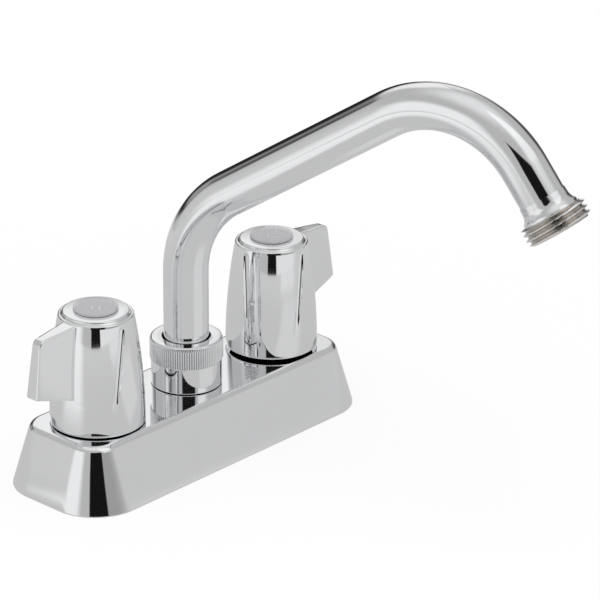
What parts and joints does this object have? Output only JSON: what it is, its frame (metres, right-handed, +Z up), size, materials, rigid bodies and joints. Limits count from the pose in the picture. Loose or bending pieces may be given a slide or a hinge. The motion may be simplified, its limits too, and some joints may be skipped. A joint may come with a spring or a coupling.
{
  "type": "utility sink faucet",
  "caption": "Deck mounted utility sink faucet with blade handles either side of a swinging bent spout that ends in a hose thread, on a tapered cover plate.",
  "frame": {"origin": "middle of the underside of the base, on the sink deck", "axes": "+Z up, +X along the base towards the cold handle, the spout leans out towards -Y"},
  "size_m": [0.1726, 0.2015, 0.2214],
  "materials": {
    "chrome": "polished plating",
    "brass": "machined",
    "copper": "drawn tube",
    "steel": "zinc plated",
    "rubber": "moulded",
    "nylon": "moulded",
    "clear": "clear polished acrylic"
  },
  "bodies": {
    "base": {"base_cover": "chrome", "deck_gasket": "rubber", "hot_body": "brass", "cold_body": "brass", "hot_branch_tube": "copper", "cold_branch_tube": "copper", "spout_post": "brass", "spout_nut": "chrome", "friction_washer": "nylon", "hot_bonnet": "chrome", "cold_bonnet": "chrome", "hot_seat": "rubber", "cold_seat": "rubber", "hot_lock_washer": "steel", "cold_lock_washer": "steel", "hot_locknut": "nylon", "cold_locknut": "nylon"},
    "spout": {"spout_tube": "chrome", "hose_outlet": "chrome", "spout_bushing": "brass", "spout_orings": "rubber"},
    "hot_valve": {"hot_stem": "brass", "hot_stem_oring": "rubber", "hot_handle": "chrome", "hot_handle_screw": "steel", "hot_button": "clear"},
    "cold_valve": {"cold_stem": "brass", "cold_stem_oring": "rubber", "cold_handle": "chrome", "cold_handle_screw": "steel", "cold_button": "clear"}
  },
  "joints": [
    {"name": "spout_swivel", "type": "hinge", "parent": "base", "child": "spout", "pos_m": [0, 0, 0.04], "axis": [0, 0, 1], "continuous": true},
    {"name": "hot_turn", "type": "hinge", "parent": "base", "child": "hot_valve", "pos_m": [-0.0508, 0, 0.04], "axis": [0, 0, 1], "range_deg": [0, 90]},
    {"name": "cold_turn", "type": "hinge", "parent": "base", "child": "cold_valve", "pos_m": [0.0508, 0, 0.04], "axis": [0, 0, 1], "range_deg": [-90, 0]}
  ]
}
